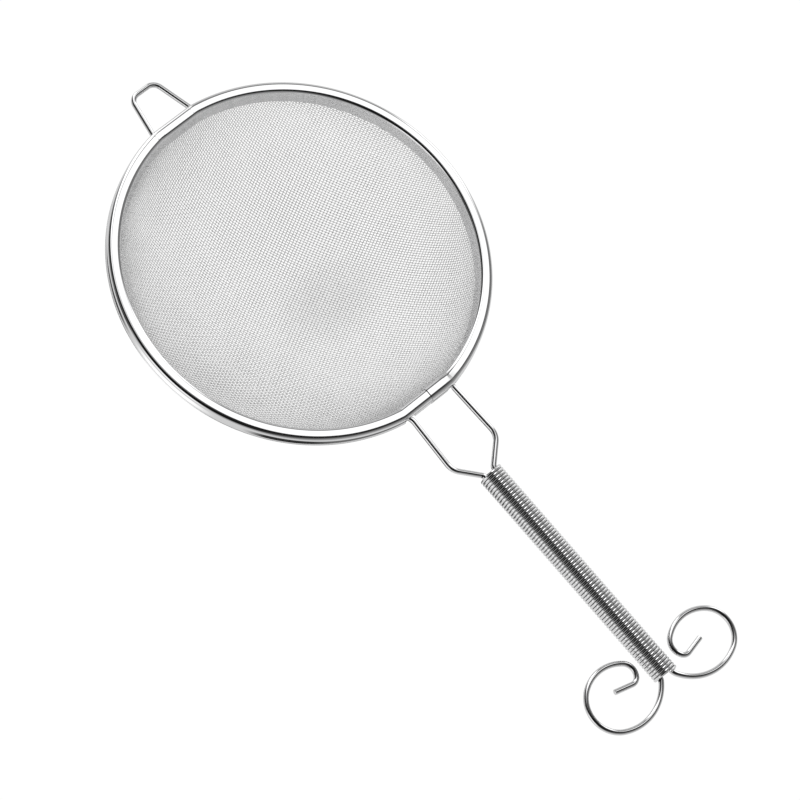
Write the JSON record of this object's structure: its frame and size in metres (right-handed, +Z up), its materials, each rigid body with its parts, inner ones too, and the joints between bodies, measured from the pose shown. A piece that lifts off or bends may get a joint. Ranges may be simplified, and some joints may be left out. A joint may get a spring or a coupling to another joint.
{
  "type": "flour sifter",
  "caption": "Hand flour sifter: round woven-wire bowl in a rolled sheet-steel rim, with a front hook and a coil-wound wire handle ending in two scrolls.",
  "frame": {"origin": "middle of the rim's circle, level with the top of the rim's crown", "axes": "+X along the handle, from the rim's middle to the scrolls; +Z up, out of the bowl's mouth; +Y to the right side seen from above with the handle pointing to +X"},
  "size_m": [0.4152, 0.1998, 0.0734],
  "materials": {
    "rim_sheet": "polished stainless sheet",
    "frame_wire": "bright drawn wire",
    "mesh_wire": "bright woven wire",
    "grip_wire": "bright drawn wire"
  },
  "bodies": {
    "root": {"rim_band": "rim_sheet", "hoop_wire": "frame_wire", "handle_wire_left": "frame_wire", "handle_wire_right": "frame_wire", "front_hook": "frame_wire", "mesh_bowl": "mesh_wire", "coil_grip": "grip_wire"}
  },
  "joints": []
}
